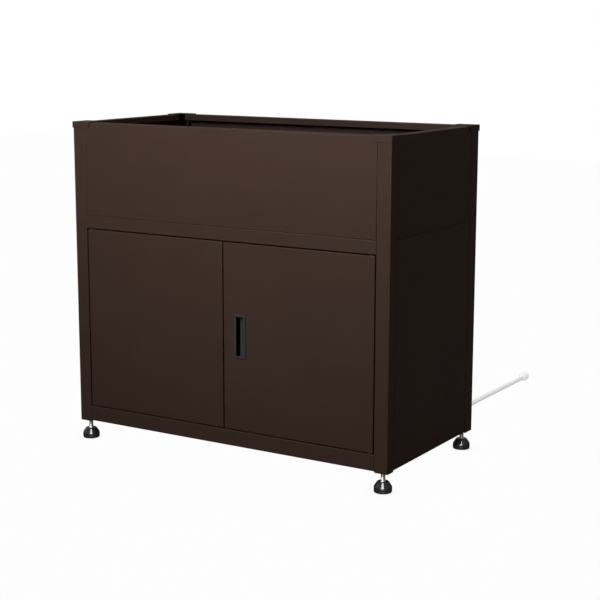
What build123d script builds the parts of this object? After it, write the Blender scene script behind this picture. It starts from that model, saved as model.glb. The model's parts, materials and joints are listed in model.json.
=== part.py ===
from build123d import *
import os

os.makedirs("parts", exist_ok=True)

# ---------------------------------------------------------------------------
# Aquarium stand cabinet: knock-down sheet-steel cabinet, two inset doors below
# a plain apron, an open recessed top, four levelling feet, a drain pipe behind.
# Frame: origin on the floor under the centre of the footprint, +X to the
# right, -Y the door side, +Z up. All values in millimetres.
# ---------------------------------------------------------------------------

# --- overall sizes ---------------------------------------------------------
width = 1000.0            # over the corner caps, X
depth = 500.0             # over the corner caps, Y
body_height = 850.0       # underside of the posts to the top of the rim
foot_height = 52.0        # floor to the underside of the posts

# --- sheet and folds -------------------------------------------------------
sheet = 1.5               # posts, panels, rails and doors
cap_sheet = 2.0           # corner caps
bend_r = 2.2              # outside radius of a fold
rim_bend_r = bend_r - 0.8  # outside radius of the rim's inner fold
pan_depth = 15.0          # depth of the folded edge of a panel
rim_w = 30.0              # width of the folded rim at the top
lip_h = 17.0              # height of the down-turned lip of the rim

# --- main planes -----------------------------------------------------------
x_out = width / 2 - cap_sheet     # outer face of posts and side panels
y_out = depth / 2 - cap_sheet     # outer face of posts, doors, rear panels
x_jamb = 458.0                    # inner edge of the front and rear faces of the posts
y_side_front = -215.0             # where the side panels start behind the front posts
y_side_rear = 202.0               # where the side panels end before the rear posts
side_mid = (y_side_front + y_side_rear) / 2
side_len = y_side_rear - y_side_front
z_bottom = foot_height
z_top = foot_height + body_height
z_rim = z_top - cap_sheet         # top of posts and panel flanges
z_rail0 = z_bottom + 3.0          # underside of rails and lower panels
z_sill = z_bottom + 46.0          # top of the front bottom rail
z_head = z_bottom + 556.0         # underside of the front mid rail
z_seam = z_bottom + 592.0         # top of the mid rails, seam to the upper panels
z_low_top = z_seam - sheet        # top of the lower panels, under the deck ledges
post_ends = ((-1, y_side_front), (1, y_side_rear))  # sign along Y, end of the side panels

# --- doors -----------------------------------------------------------------
door_gap = 3.0
door_d = 20.0
x_door = x_jamb - door_gap        # hinge-side edge
x_meet = door_gap / 2             # meeting edge
door_w = x_door - x_meet
door_mid = -(x_door + x_meet) / 2  # middle of the left door
z_door0 = z_sill + door_gap
z_door1 = z_head - door_gap
door_h = z_door1 - z_door0
z_door_mid = (z_door0 + z_door1) / 2
door_lip = 14.0                   # width of the return lip on the door's back
y_door_back = -y_out + door_d
pivot_x = x_door - 12.0           # hinge axis
pivot_y = -y_out + 8.0
pin_r = 3.0
pin_hole_r = pin_r + 0.05         # with radial running clearance
bush_r = 5.0

# --- pull handle -----------------------------------------------------------
pull_x = 52.0
pull_z = z_bottom + 304.5
pull_w = 40.0
pull_h = 119.0
pull_body_w = 35.0
pull_body_h = 110.0
pull_proud = 2.0

# --- magnetic catches ------------------------------------------------------
catch_x = 62.0
catch_y = y_door_back + 1.15      # front of the catch cases

# --- feet ------------------------------------------------------------------
foot_x = 476.0
foot_y = 230.0
stem_r = 6.0
disc_r = stem_r + 2               # disc at the lower end of the stem, inside the base
disc_z0 = 12.0
disc_z1 = 16.0
collar_r = 8.0                    # fixed collar where the stem enters the base
base_r = 23.6
base_h = 29.0
well_r = 8.3                      # socket in the base round the collar
z_collar = base_h - 5             # underside of the collar
stem_top = z_bottom + 44.0
z_plate = z_bottom + 1            # underside of the foot plates
plate_t = 3.0
foot_centres = [(sx * foot_x, sy * foot_y) for sx in (-1, 1) for sy in (-1, 1)]
foot_plane = Plane.XZ.offset(foot_y)
foot_axis = Axis((-foot_x, -foot_y, 0), (0, 0, 1))

# --- deck and floor --------------------------------------------------------
ledge = 45.0                      # depth of the rail flanges that carry the deck
side_ledge = ledge + 8            # the same on the side rails
deck_x = 456.0                    # half sizes of deck and floor
deck_y = 214.0
z_deck = z_seam + 25.0            # top of the deck
floor_x = 456.0
floor_y = 226.0
z_ledge = z_rail0 + 2 * sheet     # top of the side and rear floor ledges
z_floor = z_bottom + 24.0         # top of the floor panel
stiffener_inset = 12.0            # stiffener ends to the panel's edge

# --- drain -----------------------------------------------------------------
pipe_x = 444.0
pipe_z = z_bottom + 45.0
pipe_r = 8.0
pipe_bore = 6.5
pipe_y0 = 182.0
pipe_y1 = 742.0
sleeve_bore = pipe_r + 0.05       # bore of hose, socket and grommet
drain_x = 416.0
drain_y = 128.0
dish = 5.0                        # depth of the deck's dish round the drain
z_dish = z_deck - dish
hose_r = 10.2
grommet_hole_r = 11.5
drain_plane = Plane.XZ.offset(-drain_y)
drain_axis = Axis((drain_x, drain_y, 0), (0, 0, 1))
pipe_plane = Plane.YZ.offset(pipe_x)
pipe_axis = Axis((pipe_x, 0, pipe_z), (0, 1, 0))

# --- fasteners -------------------------------------------------------------
hole_r = 2.25
stud_r = 2.0
stud_len = 9.0
nut_r = 3.5                                   # across flats / 2
nut_h = 3.2
nut_bore = 2.03
z_stud = z_top - 9.0
x_stud = 478.0
y_stud = 228.0
z_up = (z_seam + 60.0, z_rim - 60.0)          # side screws of the upper panels
z_low = (170.0, 540.0)                        # side screws of the lower panels
z_sill_tab = z_rail0 + 21.0                   # screws of the front bottom rail's end tabs
z_head_tab = (z_head + z_seam) / 2            # screws of the front mid rail's end tabs
z_front_post = (z_sill_tab, z_head_tab) + z_up
z_rear_post = z_low + z_up
y_edge = 240.0                                # screws through the front and rear folds
x_edge = 490.0                                # screws through the side folds
x_row = (-380.0, -130.0, 130.0, 380.0)        # screws along the front and rear seams
y_row = (-150.0, 0.0, 140.0)                  # screws along the side seams

# rotations that lay a cylinder along an axis
along_x = (0, 90, 0)
along_y = (90, 0, 0)
along_z = (0, 0, 0)


# ===========================================================================
# Helpers
# ===========================================================================
pieces = []


def keep(name, part):
    """Name a finished piece and list it for export."""
    part.label = name
    pieces.append(part)
    return part


def mirrored(part, plane):
    with BuildPart() as copy:
        mirror(part, about=plane)
    return copy.part


def keep_pair(name, left):
    """Keep a left-hand piece and its mirror image on the right."""
    keep(f"{name}_left", left)
    keep(f"{name}_right", mirrored(left, Plane.YZ))


def near(a, b):
    return abs(a - b) < 0.01


def drill(centres, rotation, radius=hole_r, height=8):
    """Bore holes in the part being built."""
    with Locations(*centres):
        Cylinder(radius=radius, height=height, rotation=rotation, mode=Mode.SUBTRACT)


def fold(points, thickness):
    """Closed outline of a folded sheet: the open run of points, then back along
    it, offset to its left by the sheet's thickness with square corners."""
    normals = []
    for (x0, y0), (x1, y1) in zip(points, points[1:]):
        run = ((x1 - x0) ** 2 + (y1 - y0) ** 2) ** 0.5
        normals.append((-(y1 - y0) / run, (x1 - x0) / run))
    inner = []
    before = normals[:1] + normals
    after = normals + normals[-1:]
    for (x, y), (ax, ay), (bx, by) in zip(points, before, after):
        scale = thickness / (1 + ax * bx + ay * by)
        inner.append((x + (ax + bx) * scale, y + (ay + by) * scale))
    return list(points) + inner[::-1]


def folded_bar(plane, run, length, axis=None):
    """Folded sheet of constant section. Its outer corners, the inner points of
    the run, are rounded when the axis they lie along is given."""
    with BuildPart() as bar:
        with BuildSketch(plane):
            with BuildLine():
                Polyline(*fold(run, sheet), close=True)
            make_face()
        extrude(amount=length)
        if axis is not None:

            def on_fold(edge):
                place = plane.to_local_coords(edge.center())
                return any(near(place.X, x) and near(place.Y, y) for x, y in run[1:-1])

            fillet(bar.edges().filter_by(axis).filter_by(on_fold), radius=bend_r)
    return bar.part


def turned(plane, profile, axis):
    """Closed profile revolved about an axis."""
    with BuildPart() as body:
        with BuildSketch(plane):
            with BuildLine():
                Polyline(*profile, close=True)
            make_face()
        revolve(axis=axis)
    return body.part


def tray(z_open, z_closed, half_x, half_y):
    """Inverted pan, open below."""
    with BuildPart() as body:
        with BuildSketch(Plane.XY.offset(z_open)):
            Rectangle(2 * half_x, 2 * half_y)
        extrude(amount=z_closed - z_open)
        fillet(body.faces().sort_by(Axis.Z)[-1].edges(), radius=bend_r)
        offset(amount=-sheet, openings=body.faces().sort_by(Axis.Z)[0])
    return body.part


# ===========================================================================
# Corner posts: lipped angles, folded from one sheet, open at both ends
# ===========================================================================
def slant_cut(edge, outward):
    """Cutter outline for the slanted lower end of a post's face."""
    return [
        (edge - outward, z_bottom - 1),
        (edge - outward, z_bottom + 3),
        (edge + outward * 0.5, z_bottom + 3),
        (edge + outward * 4.5, z_bottom - 1),
    ]


def corner_post(end, y_side, z_face_screws):
    """Left post at the front (end = -1) or the rear (end = 1)."""
    run = [
        (-x_out + pan_depth, y_side),
        (-x_out, y_side),
        (-x_out, end * y_out),
        (-x_jamb, end * y_out),
        (-x_jamb, end * (y_out - pan_depth)),
    ]
    if end > 0:
        run.reverse()     # keeps the sheet on the inner side
    bar = folded_bar(Plane.XY.offset(z_bottom), run, z_rim - z_bottom, Axis.Z)
    cut_depth = pan_depth + 3
    with BuildPart() as post:
        add(bar)
        # the lower ends of both faces are cut back at a slant
        with BuildSketch(Plane.XZ.offset(-end * (y_out + 1))):
            with BuildLine():
                Polyline(*slant_cut(-x_jamb, -1), close=True)
            make_face()
        extrude(amount=end * cut_depth, mode=Mode.SUBTRACT)
        with BuildSketch(Plane.YZ.offset(-x_out - 1)):
            with BuildLine():
                Polyline(*slant_cut(y_side, end), close=True)
            make_face()
        extrude(amount=cut_depth, mode=Mode.SUBTRACT)
        # holes for the cap studs
        drill([(-x_stud, end * y_out, z_stud)], along_y)
        drill([(-x_out, end * y_stud, z_stud)], along_x)
        # holes through the two returns
        drill([(-x_jamb, end * y_edge, z) for z in z_face_screws], along_x)
        drill([(-x_edge, y_side, z) for z in z_low + z_up], along_y)
    return post.part


keep_pair("post_front", corner_post(-1, y_side_front, z_front_post))
keep_pair("post_rear", corner_post(1, y_side_rear, z_rear_post))


# ===========================================================================
# Corner caps: angle plates over the rim's corners, skirt outside, weld studs
# pointing inward through the posts
# ===========================================================================
def corner_cap():
    """Front left cap."""
    arm = 61.0                    # arm length at the top edge
    slant = 6.0                   # the skirt's end leans back this far at its lower edge
    arm_w = rim_w + cap_sheet
    left, front = -width / 2, -depth / 2
    with BuildPart() as cap:
        with BuildSketch(Plane.XY.offset(z_rim)):
            with BuildLine():
                Polyline(
                    (left, front),
                    (left + arm, front),
                    (left + arm, front + arm_w),
                    (left + arm_w, front + arm_w),
                    (left + arm_w, front + arm),
                    (left, front + arm),
                    close=True,
                )
            make_face()
        extrude(amount=cap_sheet)
        # front skirt, then side skirt
        for plane, corner, thickness in (
            (Plane.XZ.offset(depth / 2), left, -cap_sheet),
            (Plane.YZ.offset(-width / 2), front, cap_sheet),
        ):
            with BuildSketch(plane):
                with BuildLine():
                    Polyline(
                        (corner, z_top),
                        (corner, z_top - lip_h),
                        (corner + arm - slant, z_top - lip_h),
                        (corner + arm, z_top),
                        close=True,
                    )
                make_face()
            extrude(amount=thickness)

        def on_fold(edge):
            """The upright corner or one of the two top edges."""
            place = edge.center()
            planes = (near(place.X, left), near(place.Y, front), near(place.Z, z_top))
            return sum(planes) >= 2

        fillet(cap.edges().filter_by(on_fold), radius=1.6)
        # weld studs
        with Locations((-x_stud, -y_out + stud_len / 2, z_stud)):
            Cylinder(radius=stud_r, height=stud_len, rotation=along_y)
        with Locations((-x_out + stud_len / 2, -y_stud, z_stud)):
            Cylinder(radius=stud_r, height=stud_len, rotation=along_x)
    return cap.part


cap_front_left = corner_cap()
keep_pair("cap_front", cap_front_left)
keep_pair("cap_rear", mirrored(cap_front_left, Plane.XZ))

# ===========================================================================
# Panels. The upper ones are pans with a folded rim and a down-turned lip along
# the top. The lower ones are plain pans; their top folds lie one sheet under
# the seam, so that the deck ledge is held between the two folds.
# ===========================================================================
# underside, top, height of the seam screws' fold, heights of the side screws
upper_tier = (z_seam, z_rim, z_seam, z_up)
lower_tier = (z_rail0, z_low_top, z_low_top, z_low)
rim_strip = rim_w - pan_depth + 2     # rim beyond the pan, overlapping it
rim_strip_mid = (pan_depth + rim_w) / 2 - 1


def end_panel(end, tier):
    """Panel across the front (end = -1) or the rear (end = 1)."""
    z0, z1, z_fold, z_screws = tier
    outer, inner = (0, -1) if end < 0 else (-1, 0)
    with BuildPart() as panel:
        with BuildSketch(Plane.XZ.offset(-end * y_out)):
            with Locations((0, (z0 + z1) / 2)):
                Rectangle(2 * x_jamb, z1 - z0)
        extrude(amount=end * pan_depth)
        fillet(panel.faces().sort_by(Axis.Y)[outer].edges(), radius=bend_r)
        offset(amount=-sheet, openings=panel.faces().sort_by(Axis.Y)[inner])
        if tier is upper_tier:
            with BuildSketch(Plane.XY.offset(z_rim - sheet)):
                with Locations((0, end * (y_out - rim_strip_mid))):
                    Rectangle(2 * x_jamb, rim_strip)
            extrude(amount=sheet)
            with BuildSketch(Plane.XY.offset(z_rim - lip_h)):
                with Locations((0, end * (y_out - rim_w + sheet / 2))):
                    Rectangle(2 * x_jamb, sheet)
            extrude(amount=lip_h)
            fillet(
                panel.edges()
                .filter_by(Axis.X)
                .filter_by(
                    lambda edge: near(edge.center().Z, z_rim)
                    and near(edge.center().Y, end * (y_out - rim_w))
                ),
                radius=rim_bend_r,
            )
        drill([(side * x_jamb, end * y_edge, z) for side in (-1, 1) for z in z_screws], along_x)
        drill([(x, end * y_edge, z_fold) for x in x_row], along_z)
    return panel.part


def side_panel(tier):
    """Left side panel."""
    z0, z1, z_fold, z_screws = tier
    with BuildPart() as panel:
        with BuildSketch(Plane.YZ.offset(-x_out)):
            with Locations((side_mid, (z0 + z1) / 2)):
                Rectangle(side_len, z1 - z0)
        extrude(amount=pan_depth)
        fillet(panel.faces().sort_by(Axis.X)[0].edges(), radius=bend_r)
        offset(amount=-sheet, openings=panel.faces().sort_by(Axis.X)[-1])
        if tier is upper_tier:
            with BuildSketch(Plane.XY.offset(z_rim - sheet)):
                with Locations((-x_out + rim_strip_mid, side_mid)):
                    Rectangle(rim_strip, side_len)
            extrude(amount=sheet)
            with BuildSketch(Plane.XY.offset(z_rim - lip_h)):
                with Locations((-x_out + rim_w - sheet / 2, side_mid)):
                    Rectangle(sheet, side_len)
            extrude(amount=lip_h)
            fillet(
                panel.edges()
                .filter_by(Axis.Y)
                .filter_by(
                    lambda edge: near(edge.center().Z, z_rim)
                    and near(edge.center().X, -x_out + rim_w)
                ),
                radius=rim_bend_r,
            )
        ends = (y_side_front, y_side_rear)
        drill([(-x_edge, y, z) for y in ends for z in z_screws], along_y)
        drill([(-x_edge, y, z_fold) for y in y_row], along_z)
    return panel.part


def upper_rear_panel():
    panel_body = end_panel(1, upper_tier)
    with BuildPart() as panel:
        add(panel_body)
        # relief slit in the middle of the lip
        with Locations((0, y_out - rim_w, z_rim - lip_h + 5)):
            Box(1.6, 6, 16, mode=Mode.SUBTRACT)
    return panel.part


def lower_rear_panel():
    bank_x = 230.0                # middle of a bank of vent slots
    slot_pitch = 22.0
    slot_z = 500.0
    panel_body = end_panel(1, lower_tier)
    with BuildPart() as panel:
        add(panel_body)
        drill([(pipe_x, y_out, pipe_z)], along_y, radius=grommet_hole_r, height=10)
        # upright vent slots, two banks of nine high in the panel
        with Locations(
            *[
                (side * bank_x + i * slot_pitch, y_out, slot_z)
                for side in (-1, 1)
                for i in range(-4, 5)
            ]
        ):
            Box(5, 10, 60, mode=Mode.SUBTRACT)
    return panel.part


keep("front_apron", end_panel(-1, upper_tier))
keep("panel_upper_rear", upper_rear_panel())
keep_pair("panel_upper", side_panel(upper_tier))
keep_pair("panel_lower", side_panel(lower_tier))
keep("panel_lower_rear", lower_rear_panel())


# ===========================================================================
# Mid rails: the front one is a channel seen between apron and doors; the other
# three are ledges held in the seam. All four carry the deck.
# ===========================================================================
ledge_drop = 26.0         # down-turned edge of the ledges


def end_tabs(z0, z1, z_screw):
    """Add the tabs of a front rail against the posts, with their screw holes."""
    with Locations(
        *[(side * (x_jamb - sheet / 2), -y_out + 10, (z0 + z1) / 2) for side in (-1, 1)]
    ):
        Box(sheet, 18.5, z1 - z0 - 2)
    drill([(side * x_jamb, -y_edge, z_screw) for side in (-1, 1)], along_x)


def pivot_holes(z):
    drill([(side * pivot_x, pivot_y, z) for side in (-1, 1)], along_z, radius=pin_hole_r)


def mid_front_rail():
    run = [
        (-y_out + ledge, z_seam),
        (-y_out, z_seam),
        (-y_out, z_head),
        (-y_out + ledge, z_head),
    ]
    bar = folded_bar(Plane.YZ.offset(-x_jamb), run, 2 * x_jamb, Axis.X)
    with BuildPart() as rail:
        add(bar)
        end_tabs(z_head, z_seam, z_head_tab)
        drill([(x, -y_edge, z_seam) for x in x_row], along_z)
        pivot_holes(z_head)
    return rail.part


def mid_rear_rail():
    half_len = x_jamb - sheet
    run = [
        (y_out - sheet, z_seam),
        (y_out - ledge, z_seam),
        (y_out - ledge, z_seam - ledge_drop),
    ]
    bar = folded_bar(Plane.YZ.offset(-half_len), run, 2 * half_len, Axis.X)
    with BuildPart() as rail:
        add(bar)
        drill([(x, y_edge, z_seam) for x in x_row], along_z)
    return rail.part


def mid_side_rail():
    """Left mid rail."""
    half_len = y_out - ledge - 1
    run = [
        (-x_out + side_ledge, z_seam - ledge_drop),
        (-x_out + side_ledge, z_seam),
        (-x_out + sheet, z_seam),
    ]
    bar = folded_bar(Plane.XZ.offset(-half_len), run, 2 * half_len, Axis.Y)
    with BuildPart() as rail:
        add(bar)
        drill([(-x_edge, y, z_seam) for y in y_row], along_z)
    return rail.part


keep("rail_mid_front", mid_front_rail())
keep("rail_mid_rear", mid_rear_rail())
keep_pair("rail_mid", mid_side_rail())


# ===========================================================================
# Bottom rails: the front one is the sill under the doors with an upstand that
# stops them; the other three are angles in the foot of the lower panels.
# ===========================================================================
def bottom_front_rail():
    sill_d = 23.0                 # depth of the upper flange
    run = [
        (-y_out + sill_d, z_sill),
        (-y_out, z_sill),
        (-y_out, z_rail0),
        (-y_out + 40, z_rail0),
    ]
    bar = folded_bar(Plane.YZ.offset(-x_jamb), run, 2 * x_jamb, Axis.X)
    with BuildPart() as rail:
        add(bar)
        # door stop upstand, cut short at both hinge corners
        with Locations((0, -y_out + sill_d - sheet / 2, z_sill + 5)):
            Box(830, sheet, 14)
        end_tabs(z_rail0, z_sill, z_sill_tab)
        pivot_holes(z_sill)
    return rail.part


def bottom_rear_rail():
    half_len = x_jamb - sheet - 1
    z_under = z_rail0 + sheet
    run = [
        (y_out - ledge + 3, z_under),
        (y_out - sheet, z_under),
        (y_out - sheet, z_under + 20),
    ]
    return folded_bar(Plane.YZ.offset(-half_len), run, 2 * half_len, Axis.X)


def bottom_side_rail():
    """Left bottom rail."""
    half_len = y_side_rear - sheet - 1
    z_under = z_rail0 + sheet
    run = [
        (-x_out + sheet, z_under + 25),
        (-x_out + sheet, z_under),
        (-x_out + side_ledge, z_under),
    ]
    return folded_bar(Plane.XZ.offset(-half_len), run, 2 * half_len, Axis.Y)


keep("rail_bottom_front", bottom_front_rail())
keep("rail_bottom_rear", bottom_rear_rail())
keep_pair("rail_bottom", bottom_side_rail())


# ===========================================================================
# Deck under the tank and floor of the storage bay: inverted pans
# ===========================================================================
def deck():
    dish_r = 24.0
    dish_hole_r = 12.5
    # radius from the drain's axis, z
    dish_profile = [
        (dish_hole_r, z_dish - sheet),
        (dish_r + sheet, z_dish - sheet),
        (dish_r + sheet, z_deck),
        (dish_r, z_deck),
        (dish_r, z_dish),
        (dish_hole_r, z_dish),
    ]
    pan = tray(z_seam, z_deck, deck_x, deck_y)
    with BuildPart() as body:
        add(pan)
        # sunk dish for the drain fitting, so that nothing stands above the deck
        with Locations((drain_x, drain_y, z_deck)):
            Cylinder(radius=dish_r, height=10, mode=Mode.SUBTRACT)
        with BuildSketch(drain_plane):
            with BuildLine():
                Polyline(*[(drain_x + r, z) for r, z in dish_profile], close=True)
            make_face()
        revolve(axis=drain_axis)
    return body.part


def deck_hats():
    """Three hat-section stiffeners from front to rear under the deck."""
    half_len = deck_y - stiffener_inset
    z_brim = z_deck - 2 * sheet
    z_crown = z_seam + 3
    with BuildPart() as hats:
        with BuildSketch(Plane.XZ.offset(-half_len)):
            for x in (-240.0, 0.0, 240.0):
                with BuildLine():
                    Polyline(
                        *fold(
                            [
                                (x + 32, z_brim),
                                (x + 18, z_brim),
                                (x + 18, z_crown),
                                (x - 18, z_crown),
                                (x - 18, z_brim),
                                (x - 32, z_brim),
                            ],
                            -sheet,
                        ),
                        close=True,
                    )
                make_face()
        extrude(amount=2 * half_len)
    return hats.part


def storage_floor():
    pan = tray(z_ledge, z_floor, floor_x, floor_y)
    with BuildPart() as body:
        add(pan)
        # the front fold reaches down to the sill's lower flange
        with Locations((0, -floor_y + sheet / 2, z_ledge)):
            Box(2 * x_jamb - 40, sheet, 2 * sheet)
    return body.part


def floor_hat():
    """Hat-section stiffener from left to right under the floor."""
    half_len = floor_x - stiffener_inset
    z_brim = z_floor - 2 * sheet
    z_crown = z_ledge + 2
    run = [
        (-36, z_brim),
        (-20, z_brim),
        (-20, z_crown),
        (20, z_crown),
        (20, z_brim),
        (36, z_brim),
    ]
    return folded_bar(Plane.YZ.offset(-half_len), run, 2 * half_len)


keep("tank_deck", deck())
keep("deck_stiffeners", deck_hats())
keep("floor_panel", storage_floor())
keep("floor_stiffener", floor_hat())


# ===========================================================================
# Doors: hollow folded leaves with a return lip round an open back
# ===========================================================================
def left_door():
    with BuildPart() as door:
        with BuildSketch(Plane.XZ.offset(y_out)):
            with Locations((door_mid, z_door_mid)):
                Rectangle(door_w, door_h)
        extrude(amount=-door_d)
        fillet(door.faces().sort_by(Axis.Y)[0].edges(), radius=bend_r)
        # hollow inside
        with BuildSketch(Plane.XZ.offset(y_out - sheet)):
            with Locations((door_mid, z_door_mid)):
                Rectangle(door_w - 2 * sheet, door_h - 2 * sheet)
        extrude(amount=-(door_d - 2 * sheet), mode=Mode.SUBTRACT)
        # opening in the back
        with BuildSketch(Plane.XZ.offset(y_out - door_d / 2)):
            with Locations((door_mid, z_door_mid)):
                Rectangle(door_w - 2 * door_lip, door_h - 2 * door_lip)
        extrude(amount=-door_d, mode=Mode.SUBTRACT)
        drill([(-pivot_x, pivot_y, z) for z in (z_door0, z_door1)], along_z, radius=bush_r)
    return door.part


def right_door(left):
    with BuildPart() as door:
        mirror(left, about=Plane.YZ)
        # opening for the pull handle's body
        with BuildSketch(Plane.XZ.offset(y_out + 1)):
            with Locations((pull_x, pull_z)):
                Rectangle(pull_body_w + 0.6, pull_body_h + 0.6)
        extrude(amount=-5, mode=Mode.SUBTRACT)
    return door.part


def door_hat():
    """Upright hat-section stiffener in the left door."""
    end_gap = 24.0
    y_brim = -y_out + sheet
    y_crown = y_door_back - 3
    run = [
        (door_mid - 34, y_brim),
        (door_mid - 20, y_brim),
        (door_mid - 20, y_crown),
        (door_mid + 20, y_crown),
        (door_mid + 20, y_brim),
        (door_mid + 34, y_brim),
    ]
    return folded_bar(Plane.XY.offset(z_door0 + end_gap), run, door_h - 2 * end_gap)


door_left = keep("door_left", left_door())
keep("door_right", right_door(door_left))
keep_pair("door_stiffener", door_hat())


# --- hinges: headed pins in the rails, flanged bushes in the doors ----------
def pins():
    head_h = 2.5
    shank = 15.0
    # face of the rail's flange under the pin's head, direction of the head
    seats = ((z_head + sheet, 1), (z_sill - sheet, -1))
    tips = [z - out * shank for z, out in seats]
    with BuildPart() as body:
        for side in (-1, 1):
            for z, out in seats:
                with Locations((side * pivot_x, pivot_y, z + out * head_h / 2)):
                    Cylinder(radius=5.5, height=head_h)
                with Locations((side * pivot_x, pivot_y, z - out * shank / 2)):
                    Cylinder(radius=pin_r, height=shank)
        chamfer(
            body.faces()
            .filter_by(Axis.Z)
            .filter_by(lambda face: any(near(face.center().Z, z) for z in tips))
            .edges(),
            length=0.8,
        )
    return body.part


def bushes():
    """Both bushes of the left door: body in the door's fold, flange outside it."""
    body_h = 7.0
    with BuildPart() as pair:
        # door edge, direction of the flange, flange thickness;
        # the lower bush's thicker flange carries the door on the sill
        for z, out, flange_t in ((z_door1, 1, 1.2), (z_door0, -1, 2.95)):
            with Locations((-pivot_x, pivot_y, z + out * flange_t / 2)):
                Cylinder(radius=7, height=flange_t)
            with Locations((-pivot_x, pivot_y, z - out * body_h / 2)):
                Cylinder(radius=bush_r, height=body_h)
        drill(
            [(-pivot_x, pivot_y, z) for z in (z_door0, z_door1)],
            along_z,
            radius=pin_hole_r,
            height=30,
        )
    return pair.part


keep("hinge_pins", pins())
keep_pair("hinge_bushes", bushes())


# --- pull handle: raised frame, scooped pocket with an undercut finger grip --
def pull():
    pocket_len = 106.0
    y_frame = -y_out - pull_proud     # front of the frame
    y_pocket = -y_out + 13.0          # back of the pocket
    y_undercut = -y_out + 1.2         # front of the undercut
    scoop_x = pull_x + 13.2           # where the scoop meets the frame
    back_x = pull_x - 8.0             # where the scoop meets the pocket's back
    with BuildPart() as handle:
        with BuildSketch(Plane.XZ.offset(y_out + pull_proud)):
            with Locations((pull_x, pull_z)):
                RectangleRounded(pull_w, pull_h, 2.5)
        extrude(amount=-pull_proud)
        fillet(handle.faces().sort_by(Axis.Y)[0].edges(), radius=1.2)
        with BuildSketch(Plane.XZ.offset(y_out)):
            with Locations((pull_x, pull_z)):
                Rectangle(pull_body_w, pull_body_h)
        extrude(amount=-15)
        # pocket, drawn across the handle and carried along its length
        with BuildSketch(Plane.XY.offset(pull_z - pocket_len / 2)):
            with BuildLine():
                ThreePointArc(
                    (scoop_x, y_frame),
                    (pull_x + 5.2, -y_out + 8.0),
                    (back_x, y_pocket),
                )
                Polyline(
                    (back_x, y_pocket),
                    (pull_x - 15.9, y_pocket),
                    (pull_x - 15.9, y_undercut),
                    (pull_x - 9.5, y_undercut),
                    (pull_x - 9.5, y_frame - 1),
                    (scoop_x, y_frame - 1),
                    (scoop_x, y_frame),
                )
            make_face()
        extrude(amount=pocket_len, mode=Mode.SUBTRACT)
        # snap tabs behind the door skin
        tab_z = pull_body_h / 2 + 1.4
        with Locations(
            *[(pull_x, -y_out + sheet + 1.55, pull_z + side * tab_z) for side in (-1, 1)]
        ):
            Box(14, 3, 2.8)
    return handle.part


keep("door_pull", pull())


# --- catches, striker plates and bumpers ------------------------------------
def catches():
    case_w, case_d, case_h = 46.0, 15.0, 14.0
    z_mid = z_head - case_h / 2
    with BuildPart() as pair:
        for side in (-1, 1):
            with Locations((side * catch_x, catch_y + case_d / 2, z_mid)):
                Box(case_w, case_d, case_h)
        fillet(pair.edges().filter_by(Axis.Z), radius=1.5)
        # the two steel pole bars stand a little forward of the case
        for side in (-1, 1):
            with Locations(*[(side * catch_x, catch_y - 0.02, z_mid + dz) for dz in (-3.4, 3.4)]):
                Box(32, 0.6, 2)
    return pair.part


def striker():
    """Striker plate on the back of the left door."""
    plate = 0.8
    z_mid = z_head - 9.5
    with BuildPart() as body:
        with Locations((-catch_x, y_door_back + plate / 2, z_mid)):
            Box(40, plate, 10)
        fillet(body.edges().filter_by(Axis.Y), radius=2)
        drill(
            [(-catch_x + dx, y_door_back, z_mid) for dx in (-14, 14)],
            along_y,
            radius=1.6,
            height=4,
        )
    return body.part


def bumpers():
    thickness = 1.5
    with BuildPart() as pads:
        with Locations(
            *[(x, y_door_back + thickness / 2, z_sill + 7.5) for x in (-390, -70, 70, 390)]
        ):
            Cylinder(radius=4, height=thickness, rotation=along_y)
    return pads.part


keep("magnetic_catches", catches())
keep_pair("striker", striker())
keep("door_bumpers", bumpers())


# ===========================================================================
# Levelling feet: plate and nut in each post, threaded stem, bell-shaped base
# ===========================================================================
def plates():
    with BuildPart() as body:
        for side in (-1, 1):
            for end, y_side in post_ends:
                with Locations(
                    (
                        side * (x_out + x_jamb) / 2,
                        (end * y_out + y_side) / 2,
                        z_plate + plate_t / 2,
                    )
                ):
                    Box(
                        x_out - x_jamb - 2 * sheet,
                        abs(end * y_out - y_side) - 2 * sheet,
                        plate_t,
                    )
        chamfer(body.edges().filter_by(Axis.Z), length=1.5)
        drill(
            [(x, y, z_bottom) for x, y in foot_centres],
            along_z,
            radius=stem_r + 0.5,
            height=20,
        )
    return body.part


def stem_nuts():
    with BuildPart() as nuts:
        with BuildSketch(Plane.XY.offset(z_plate + plate_t)):
            with Locations(*foot_centres):
                RegularPolygon(radius=9.5, side_count=6, major_radius=False)
                Circle(stem_r + 0.05, mode=Mode.SUBTRACT)
        extrude(amount=10)
    return nuts.part


def foot_stem():
    """Front left stem."""
    # radius from the foot's axis, z
    profile = [
        (0, disc_z0),
        (disc_r, disc_z0),
        (disc_r, disc_z1),
        (stem_r, disc_z1),
        (stem_r, z_collar),
        (collar_r, z_collar),
        (collar_r, base_h + 1.0),
        (collar_r - 0.6, base_h + 1.6),
        (stem_r, base_h + 1.6),
        (stem_r, stem_top - 1.5),
        (stem_r - 1.5, stem_top),
        (0, stem_top),
    ]
    return turned(foot_plane, [(-foot_x + r, z) for r, z in profile], foot_axis)


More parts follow.
